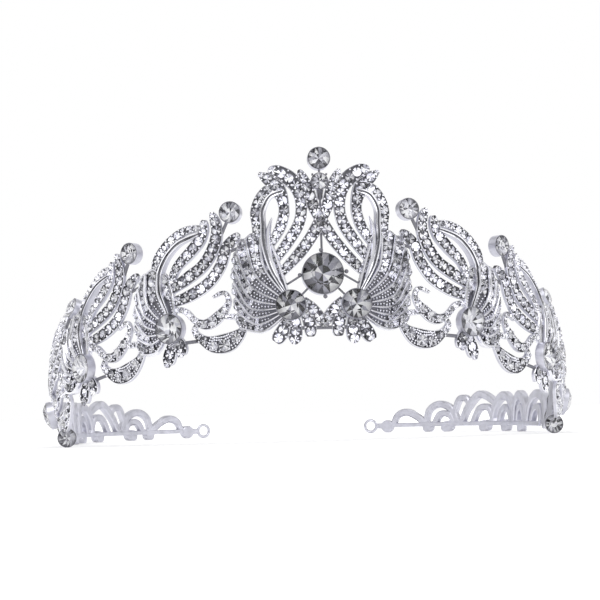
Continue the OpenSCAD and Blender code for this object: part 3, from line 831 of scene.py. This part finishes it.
def fill_gaps(metal, motif, curve, top, placed):
    """Grains on the floor of a wide leaf, wherever no stone stands."""
    run = lengths(curve)
    side = across(curve)
    for q in np.arange(FLOOR_ENDS[0], run[-1] - FLOOR_ENDS[1], FLOOR_PITCH):
        u, v, width = along(q, run, curve)
        n = side[int(np.argmin(abs(run - q)))]
        half = 0.5 * width - FLOOR_EDGE
        rows = int(2 * half / FLOOR_PITCH) + 1
        for j in range(rows) if half > FLOOR_LEAST else ():
            way = (j - (rows - 1) / 2) * FLOOR_PITCH
            a, b = u + n[0] * way, v + n[1] * way
            if all(hypot(a - x, b - y) > d / 2 + CLEAR for x, y, d in placed):
                bead(metal, seat(motif, (a, b), top - FLOOR_SINK), radius=0.33, lift=0.05)


# A larger stone's rise, and its cup's wall as (distance out of its edge, height)
SPOT_RISE = 0.2
SPOT_WALL = ((0.12, -0.8), (0.12, -0.06), (0.02, 0.02), (-0.04, -0.8))
SPOT_GRAINS = 4
SPOT_OUT = 0.06


def set_spots(metal, stones, motif, spots, top):
    """The larger stones of a leaf in thin cups, each held by grains."""
    for u, v, d in spots:
        axes = seat(motif, (u, v), top + SPOT_RISE)
        r = d / 2
        # The inner wall of each cup is dark, painted shade round the stone.
        turned(metal, axes, [(r + a, h) for a, h in SPOT_WALL], [BRIGHT, BRIGHT, DARK, MATTE], count=20)
        cut_stone(stones, axes, d, spin=u, foil=PALE)
        reach = r + SPOT_OUT
        for j in range(SPOT_GRAINS):
            t = pi / 4 + 2 * pi * j / SPOT_GRAINS
            bead(metal, axes, radius=0.25, spot=(reach * cos(t), reach * sin(t)), lift=0.02)


def side_motif(metal, stones, motif, rise):
    for k, rows in enumerate(SIDE_STRANDS):
        strand(metal, stones, motif, rows, top_of(k), SIDE_SPREAD)
    sweep(metal, motif, SIDE_BAND, GROOVE, GROOVE_BACK, GROOVE_TOP)
    low = motif.raised(rise)
    for k, rows in enumerate((SIDE_HOOK, SIDE_SCROLL)):
        curve, placed = strand(metal, stones, low, rows, top_of(k), HOOK_SPREAD, HOOK_ENDS, SIDE_SPOTS)
        fill_gaps(metal, low, curve, top_of(k), placed + list(SIDE_SPOTS))
    set_spots(metal, stones, low, SIDE_SPOTS, top_of(1))
    wire(metal, low, SIDE_BASE_WIRE)
    wire(metal, motif, SIDE_LINK_WIRE, width=0.8)
    wire(metal, motif, SIDE_STEM, width=0.9)
    for rows in SIDE_PETALS:
        strand(metal, stones, motif, rows, top_of(1), MID_SPREAD, PETAL_ENDS)
    fan(metal, stones, motif, SIDE_FAN, SIDE_RIBS)
    cup(metal, motif, *SIDE_HUB, HUB_DEPTH)
    cup(metal, motif, *SIDE_TIP, TIP_DEPTH)


def middle_half(metal, stones):
    for k, rows in enumerate(MID_STRANDS):
        strand(metal, stones, MIDDLE, rows, top_of(k), MID_SPREAD)
    sweep(metal, MIDDLE, MID_BAND, GROOVE, GROOVE_BACK, GROOVE_TOP)
    sweep(metal, MIDDLE, MID_LEAF, RIDGE, LEAF_BACK, RIDGE_TOP)
    for k, rows in enumerate(MID_PETALS):
        strand(metal, stones, MIDDLE, rows, top_of(k), MID_SPREAD, PETAL_ENDS)
    for route in MID_ARMS:
        wire(metal, MIDDLE, route, width=0.55)
    fan(metal, stones, MIDDLE, MID_FAN, MID_RIBS)
    cup(metal, MIDDLE, *MID_HUB, HUB_DEPTH)


def middle_line(metal):
    """What stands on the middle line: the wires and the three cups, with claws."""
    wire(metal, MIDDLE, MID_BASE_WIRE)
    for route in MID_STEMS:
        wire(metal, MIDDLE, route, width=0.6)
    sweep(metal, MIDDLE, MID_DROP, CHANNEL, LEAF_BACK, STRAND_THICK)
    axes = cup(metal, MIDDLE, *MID_CENTRE)
    claws(metal, axes, CENTRE_STONE, turn=0.06, radius=0.58)
    cup(metal, MIDDLE, *MID_TOP, TIP_DEPTH)
    axes = cup(metal, MIDDLE, *MID_SECOND)
    claws(metal, axes, SECOND_STONE, turn=pi / 4, radius=0.3)


# Inset of the bars, and width, start, step and end of the lower wire
BAND_INSET = 0.15
BAND_WIRE = 1.4
BAND_FROM = 8
BAND_STEP = 10
BAND_PAST = 6
SIDE_PETAL_COUNT = 2
DISC_EDGE = 0.25
# The stub that carries the tie loop
STUB_INSET = 0.05
STUB = ((LOOP_OUTER / 2 - 0.2, LOOP_OUTER / 2, 1.8), (5, 2.4, 2))


def band_bar(metal, rows, k):
    wide = [(t, z, width * BAND_WIDE) for t, z, width in rows]
    inset = BAND_INSET + k % 2 * LAYER
    sweep(metal, END, wide, PLATE, inset, BAND_THICK - inset)


def back_band(metal):
    """The plain arcaded band from the tie loop forwards."""
    last = SIDE_ARCH_START + SIDE_ARCH_COUNT * SIDE_ARCH_LENGTH
    rows = [(t, BAND_HEIGHT, BAND_WIRE) for t in np.arange(BAND_FROM, last + BAND_PAST, BAND_STEP)]
    sweep(metal, END, rows, PLATE, 0, BAND_THICK, steps=5)
    for k, table in enumerate(END_ARCHES + END_PETALS):
        band_bar(metal, table, k)
    for n in range(SIDE_ARCH_COUNT):
        start = SIDE_ARCH_START + n * SIDE_ARCH_LENGTH
        tables = (SIDE_ARCH, SIDE_INNER_ARCH) + ((SIDE_BAND_PETAL,) if n < SIDE_PETAL_COUNT else ())
        for k, table in enumerate(tables):
            band_bar(metal, [(t + start, z, width) for t, z, width in table], k)
    edge = DISC_RADIUS - DISC_EDGE
    disc = ((edge, 0), (DISC_RADIUS, DISC_EDGE), (DISC_RADIUS, BAND_THICK - DISC_EDGE), (edge, BAND_THICK))
    turned(metal, seat(END, END_DISC, 0), disc, [MATTE, MATTE, BRIGHT, BRIGHT], count=28, closed=False)
    sweep(metal, END, STUB, PLATE, STUB_INSET, LOOP_THICK - STUB_INSET, steps=2)


def foot_axes():
    """The seat of the stone at the foot of the front, which faces forwards."""
    forwards = FOOT_DEPTH + Y_SHIFT - cup_height(FOOT_STONE)
    place = np.array([HALF_WIDTH + FOOT_OUT, forwards, FOOT_RADIUS - FOOT_SINK])
    return place, np.array([1.0, 0, 0]), np.array([0, 0, 1.0]), np.array([0, -1.0, 0])


def foot(metal):
    motif = SIDES[-1].raised(0)
    sweep(metal, motif, FOOT_DROP, PLATE, low=0.2, top=1.6, steps=2)
    sweep(metal, motif, BAND_STRAP, PLATE, low=0.3, top=2, steps=3)
    bezel(metal, foot_axes(), FOOT_STONE, cup_height(FOOT_STONE))


# Sides of the tie loop's section, and how round it is
LOOP_SECTION = 12
LOOP_ROUND = 0.8


def tie_loop():
    shape = Shape()
    mid = (LOOP_OUTER + LOOP_BORE) / 4
    half = (LOOP_OUTER - LOOP_BORE) / 4
    profile = [(mid + half * cos(t) * (LOOP_ROUND + (1 - LOOP_ROUND) * abs(cos(t))),
                LOOP_THICK / 2 + LOOP_THICK / 2 * sin(t)) for t in full_turn(LOOP_SECTION)]
    turned(shape, seat(END, (0, LOOP_OUTER / 2), 0), profile, [MATTE] * LOOP_SECTION, count=40)
    return shape


FLOAT, COLOUR, VECTOR = "NodeSocketFloat", "NodeSocketColor", "NodeSocketVector"


# Shared shader effects: they put out only colours, values and normals
def new_group(name, inputs, outputs):
    group = bpy.data.node_groups.new(name, "ShaderNodeTree")
    for way, sockets in (("INPUT", inputs), ("OUTPUT", outputs)):
        for label, kind in sockets:
            group.interface.new_socket(label, in_out=way, socket_type=kind)
    return group, group.nodes.new("NodeGroupInput").outputs, group.nodes.new("NodeGroupOutput").inputs


def connect(tree, inputs, links):
    """Links or sets inputs from (input, source socket or value)."""
    for target, source in links:
        if hasattr(source, "is_output"):
            tree.links.new(source, inputs[target])
        else:
            inputs[target].default_value = source


def node(tree, kind, links=(), **values):
    made = tree.nodes.new(kind)
    for key, value in values.items():
        setattr(made, key, value)
    connect(tree, made.inputs, links)
    return made


def maths(tree, operation, a, b, **values):
    return node(tree, "ShaderNodeMath", [(0, a), (1, b)], operation=operation, **values).outputs[0]


def scaled(tree, tone, factor):
    made = node(tree, "ShaderNodeVectorMath", [(0, tone), ("Scale", factor)], operation="SCALE")
    return made.outputs["Vector"]


def ramp(tree, source, stops):
    """A colour ramp from (place, grey or colour) stops."""
    made = node(tree, "ShaderNodeValToRGB", [("Fac", source)])
    elements = made.color_ramp.elements
    for place, _ in stops[len(elements):]:
        elements.new(place)
    for element, (place, value) in zip(elements, stops):
        element.position = place
        element.color = (*value, 1) if isinstance(value, tuple) else (value, value, value, 1)
    return made.outputs["Color"]


CLOUDS = [("Scale", 420.0), ("Detail", 3.0)]
CLOUD_RANGE = [("From Min", 0.3), ("From Max", 0.7), ("To Min", -0.5), ("To Max", 0.5)]
GRAINS = [("Scale", 3800.0), ("Detail", 2.0)]
GRAIN_DEPTH = 0.00005


def plating_group():
    """Cloudy tone, fine polishing marks and casting grain of plated metal."""
    group, source, target = new_group(
        "plating", [("Tone", COLOUR), ("Rough", FLOAT), ("Cloud", FLOAT), ("Grain", FLOAT)],
        [("Color", COLOUR), ("Roughness", FLOAT), ("Normal", VECTOR)])
    place = node(group, "ShaderNodeTexCoord").outputs["Object"]
    cloud = node(group, "ShaderNodeTexNoise", [("Vector", place)] + CLOUDS)
    grain = node(group, "ShaderNodeTexNoise", [("Vector", place)] + GRAINS)
    shade = node(group, "ShaderNodeMapRange", [("Value", cloud.outputs["Fac"])] + CLOUD_RANGE)
    weight = maths(group, "MULTIPLY", shade.outputs["Result"], source["Cloud"])
    tone = scaled(group, source["Tone"], maths(group, "ADD", weight, 1.0))
    rough = maths(group, "ADD", weight, source["Rough"], use_clamp=True)
    bump = node(group, "ShaderNodeBump", [("Height", grain.outputs["Fac"]), ("Strength", source["Grain"]),
                                          ("Distance", GRAIN_DEPTH)])
    connect(group, target, [("Color", tone), ("Roughness", rough), ("Normal", bump.outputs["Normal"])])
    return group


# Painted reflections of the facets: (share of the facets up to here, colour), from near black to white
FACET_REFLECTION_STOPS = ((0.0, (0.01, 0.01, 0.014)), (0.17, (0.04, 0.04, 0.05)), (0.32, (0.25, 0.25, 0.29)),
               (0.6, (0.66, 0.66, 0.73)), (0.78, (1.0, 1.0, 1.0)))


def facet_reflection_group():
    """Painted reflections: a tone for every facet, from near black to white, standing in for what each facet
    mirrors, and a lighter or darker one for each whole stone.
    """
    group, source, target = new_group(
        "facet_painted_reflections", [("Darkest", FLOAT), ("Lightest", FLOAT), ("Contrast", FLOAT)], [("Color", COLOUR)])
    place = node(group, "ShaderNodeNewGeometry").outputs
    tone = node(group, "ShaderNodeTexWhiteNoise", [("Vector", place["True Normal"])], noise_dimensions="3D")
    facet = ramp(group, tone.outputs["Value"], FACET_REFLECTION_STOPS)
    whole = node(group, "ShaderNodeMapRange", [("Value", place["Random Per Island"]),
                                               ("To Min", source["Darkest"]), ("To Max", source["Lightest"])])
    sharp = node(group, "ShaderNodeGamma", [("Color", facet), ("Gamma", source["Contrast"])])
    connect(group, target, [("Color", scaled(group, sharp.outputs[0], whole.outputs["Result"]))])
    return group


PLATING = plating_group()
FACET_REFLECTIONS = facet_reflection_group()


def material(name):
    made = bpy.data.materials.new(name)
    made.use_nodes = True
    return made, made.node_tree, made.node_tree.nodes["Principled BSDF"].inputs


def plated(name, tone, rough, cloud, grain):
    made, tree, shader = material(name)
    finish = node(tree, "ShaderNodeGroup", [("Tone", (*tone, 1)), ("Rough", rough), ("Cloud", cloud),
                                            ("Grain", grain)], node_tree=PLATING).outputs
    connect(tree, shader, [("Metallic", 1.0), ("Base Color", finish["Color"]),
                           ("Roughness", finish["Roughness"]), ("Normal", finish["Normal"])])
    made.diffuse_color = (*tone, 1)
    return made


def crystal_glass():
    made, tree, shader = material("crystal_glass")
    connect(tree, shader, [("Base Color", (0.98, 0.98, 1.0, 1)), ("Roughness", 0.0), ("IOR", 1.56),
                           ("Transmission Weight", 1.0)])
    return made


def crystal_foil(name, darkest, lightest, contrast):
    """The silvered back of a stone, whose facet tones are painted reflections."""
    made, tree, shader = material(name)
    tones = node(tree, "ShaderNodeGroup", [("Darkest", darkest), ("Lightest", lightest),
                                           ("Contrast", contrast)], node_tree=FACET_REFLECTIONS).outputs
    connect(tree, shader, [("Base Color", tones["Color"]), ("Metallic", 0.2), ("Roughness", 0.2)])
    return made


# The darkened silver is partly a dark finish and partly painted shade. It darkens the floors of channels and
# grooves, the insides and lips of cups and the back edges of strands, where shade falls, and it colours the
# wires and claws.
METALS = (plated("silver_polished", (0.84, 0.84, 0.89), 0.16, 0.22, 0.06),
          plated("silver_darkened_and_shade", (0.21, 0.21, 0.235), 0.42, 0.5, 0.3),
          plated("silver_matte", (0.655, 0.655, 0.725), 0.4, 0.2, 0.35))
GLASS_CROWN = crystal_glass()
# Whole-stone scales above 1 are painted light: they make the foils brighter than any backing, the small
# stones' up to 2.3 times.
PALE_FOIL = crystal_foil("crystal_foil_pale", 1.0, 1.15, 0.75)
STONES = (GLASS_CROWN, crystal_foil("crystal_foil", 0.75, 0.9, 1.4))
PALE_STONES = (GLASS_CROWN, PALE_FOIL)
SMALL_STONES = (GLASS_CROWN, crystal_foil("crystal_foil_small", 0.9, 2.3, 0.9), PALE_FOIL)
# The halves, and whether they are mirrored
HALVES = (("right", False), ("left", True))


def build_metal():
    metal, stones = Shape(), Shape()
    middle_half(metal, stones)
    metal.merge(metal.mirrored())
    stones.merge(stones.mirrored())
    middle_line(metal)
    metal.piece("middle_metal", METALS, "silver", ("frame",))
    stones.piece("middle_small_stones", SMALL_STONES, "crystal", ("pave_centre",), FLAT)
    for k, motif in enumerate(SIDES):
        metal, stones = Shape(), Shape()
        side_motif(metal, stones, motif, SIDE_RISES[k])
        if motif is SIDES[-1]:
            foot(metal)
        for side, flip in HALVES:
            part = f"{side}_{k + 1}"
            metal.sided(flip).piece(f"side_metal_{part}", METALS, "silver")
            stones.sided(flip).piece(f"side_small_stones_{part}", SMALL_STONES, "crystal",
                                     (f"pave_{part}",), FLAT)
    metal = Shape()
    back_band(metal)
    loop = tie_loop()
    for side, flip in HALVES:
        metal.sided(flip).piece(f"back_band_{side}", METALS, "silver")
        loop.sided(flip).piece(f"tie_loop_{side}", METALS, "silver", (f"end_loop_{side}",))


# A crown stays this far inside the lip of its cup
CROWN_PLAY = 0.02


def single_stone(name, axes, d, flip=False, kind=PALE_STONES):
    shape = Shape()
    cut_stone(shape, axes, d + 2 * CROWN_OVER - CROWN_PLAY, turns=10, heart=0.42)
    shape.sided(flip).piece(f"cut_{name}", kind, "crystal", (name,), FLAT)


def build_stones():
    single_stone("stone_centre", stone_seat(MIDDLE, *MID_CENTRE), CENTRE_STONE, kind=STONES)
    single_stone("stone_top", stone_seat(MIDDLE, *MID_TOP), TOP_STONE)
    single_stone("stone_second", stone_seat(MIDDLE, *MID_SECOND), SECOND_STONE)
    for side, flip in HALVES:
        single_stone(f"stone_hub_{side}", stone_seat(MIDDLE, *MID_HUB), HUB_STONE, flip, STONES)
        single_stone(f"stone_foot_{side}", foot_axes(), FOOT_STONE, flip)
        for k, motif in enumerate(SIDES):
            for part, setting in (("hub", SIDE_HUB), ("tip", SIDE_TIP)):
                name = f"stone_{part}_{side}_{k + 1}"
                single_stone(name, stone_seat(motif, *setting), setting[-1], flip)


# The floor: half its size in metres, its specks, tones and glow
FLOOR_HALF = 6.0
FLOOR_SPECK = 900.0
FLOOR_TONES = ((0.0, 0.76), (1.0, 0.8))
FLOOR_GLOW = ((0.08, 0.22), (0.6, 0.55))


def floor():
    """A plain pale floor under the whole view."""
    mesh = bpy.data.meshes.new("floor")
    corners = [(x * FLOOR_HALF, y * FLOOR_HALF, 0) for x, y in ((-1, -1), (1, -1), (1, 1), (-1, 1))]
    mesh.from_pydata(corners, [], [(0, 1, 2, 3)])
    made, tree, shader = material("floor_white")
    place = node(tree, "ShaderNodeTexCoord").outputs["Object"]
    speck = node(tree, "ShaderNodeTexNoise", [("Vector", place), ("Scale", FLOOR_SPECK)])
    far = node(tree, "ShaderNodeVectorMath", [(0, place)], operation="LENGTH")
    connect(tree, shader, [("Base Color", ramp(tree, speck.outputs["Fac"], FLOOR_TONES)),
                           ("Emission Color", ramp(tree, far.outputs["Value"], FLOOR_GLOW)),
                           ("Emission Strength", 1.0), ("Roughness", 1.0), ("Specular IOR Level", 0.0)])
    mesh.materials.append(made)
    new_object("floor", mesh)


# Strength of the panels as the metal and as the stones see them
METAL_LIGHT = 1.0
STONE_LIGHT = 2.0
PANELS = [("Scale", 4.5), ("Detail", 1.0)]
PANEL_TONES = ((0.36, 0.03), (0.46, 0.5), (0.54, 1.0))
# Lamps: name, place in metres, size and power; each faces the tiara
LAMPS = (("key", (-0.5, -0.9, 1.1), 0.9, 5.0), ("fill", (0.9, -0.6, 0.7), 0.8, 2.5),
         ("back", (0.1, 1.0, 1.0), 1.0, 1.0))


def studio():
    """White surround for the eye, with darker panels that only the metal and the stones mirror."""
    world = bpy.data.worlds.new("studio")
    bpy.context.scene.world = world
    world.use_nodes = True
    tree = world.node_tree
    tree.nodes.clear()
    place = node(tree, "ShaderNodeTexCoord").outputs["Generated"]
    panels = node(tree, "ShaderNodeTexNoise", [("Vector", place)] + PANELS)
    tone = ramp(tree, panels.outputs["Fac"], PANEL_TONES)
    path = node(tree, "ShaderNodeLightPath").outputs
    plain = maths(tree, "MAXIMUM", path["Is Camera Ray"], path["Is Diffuse Ray"])
    inside = node(tree, "ShaderNodeMapRange", [("Value", path["Is Transmission Ray"]),
                                               ("To Min", METAL_LIGHT), ("To Max", STONE_LIGHT)])
    seen = node(tree, "ShaderNodeBackground", [("Color", (1, 1, 1, 1)), ("Strength", 1.0)])
    lit = node(tree, "ShaderNodeBackground", [("Color", tone), ("Strength", inside.outputs["Result"])])
    mix = node(tree, "ShaderNodeMixShader", [(0, plain), (1, lit.outputs[0]), (2, seen.outputs[0])])
    node(tree, "ShaderNodeOutputWorld", [("Surface", mix.outputs[0])])
    for name, place, size, power in LAMPS:
        light = bpy.data.lights.new(name, "AREA")
        light.size = size
        light.energy = power
        obj = new_object(name, light)
        obj.location = place
        obj.rotation_euler = (-Vector(place)).to_track_quat("-Z", "Y").to_euler()
    bpy.context.scene.view_settings.view_transform = "Standard"


# The camera's place in millimetres, and the directions ahead of it and up
CAMERA_PLACE = (-38.98, -526.4, 8.145)
CAMERA_AHEAD = (0.07319447, 0.99523475, 0.06442323)
CAMERA_UP = (0.02357709, -0.06630518, 0.9975208)


def camera():
    """At the photograph's angle, low above the floor, with its slight roll."""
    data = bpy.data.cameras.new("camera")
    data.lens = 104.0
    data.sensor_width = 36.0
    data.clip_start = 0.01
    data.clip_end = 30.0
    obj = new_object("camera", data)
    forward = Vector(CAMERA_AHEAD).normalized()
    right = forward.cross(Vector(CAMERA_UP)).normalized()
    turn = Matrix((right, right.cross(forward), -forward)).transposed().to_4x4()
    obj.matrix_world = Matrix.Translation(Vector(CAMERA_PLACE) * MM) @ turn
    bpy.context.scene.camera = obj


build_metal()
build_stones()
floor()
studio()
camera()
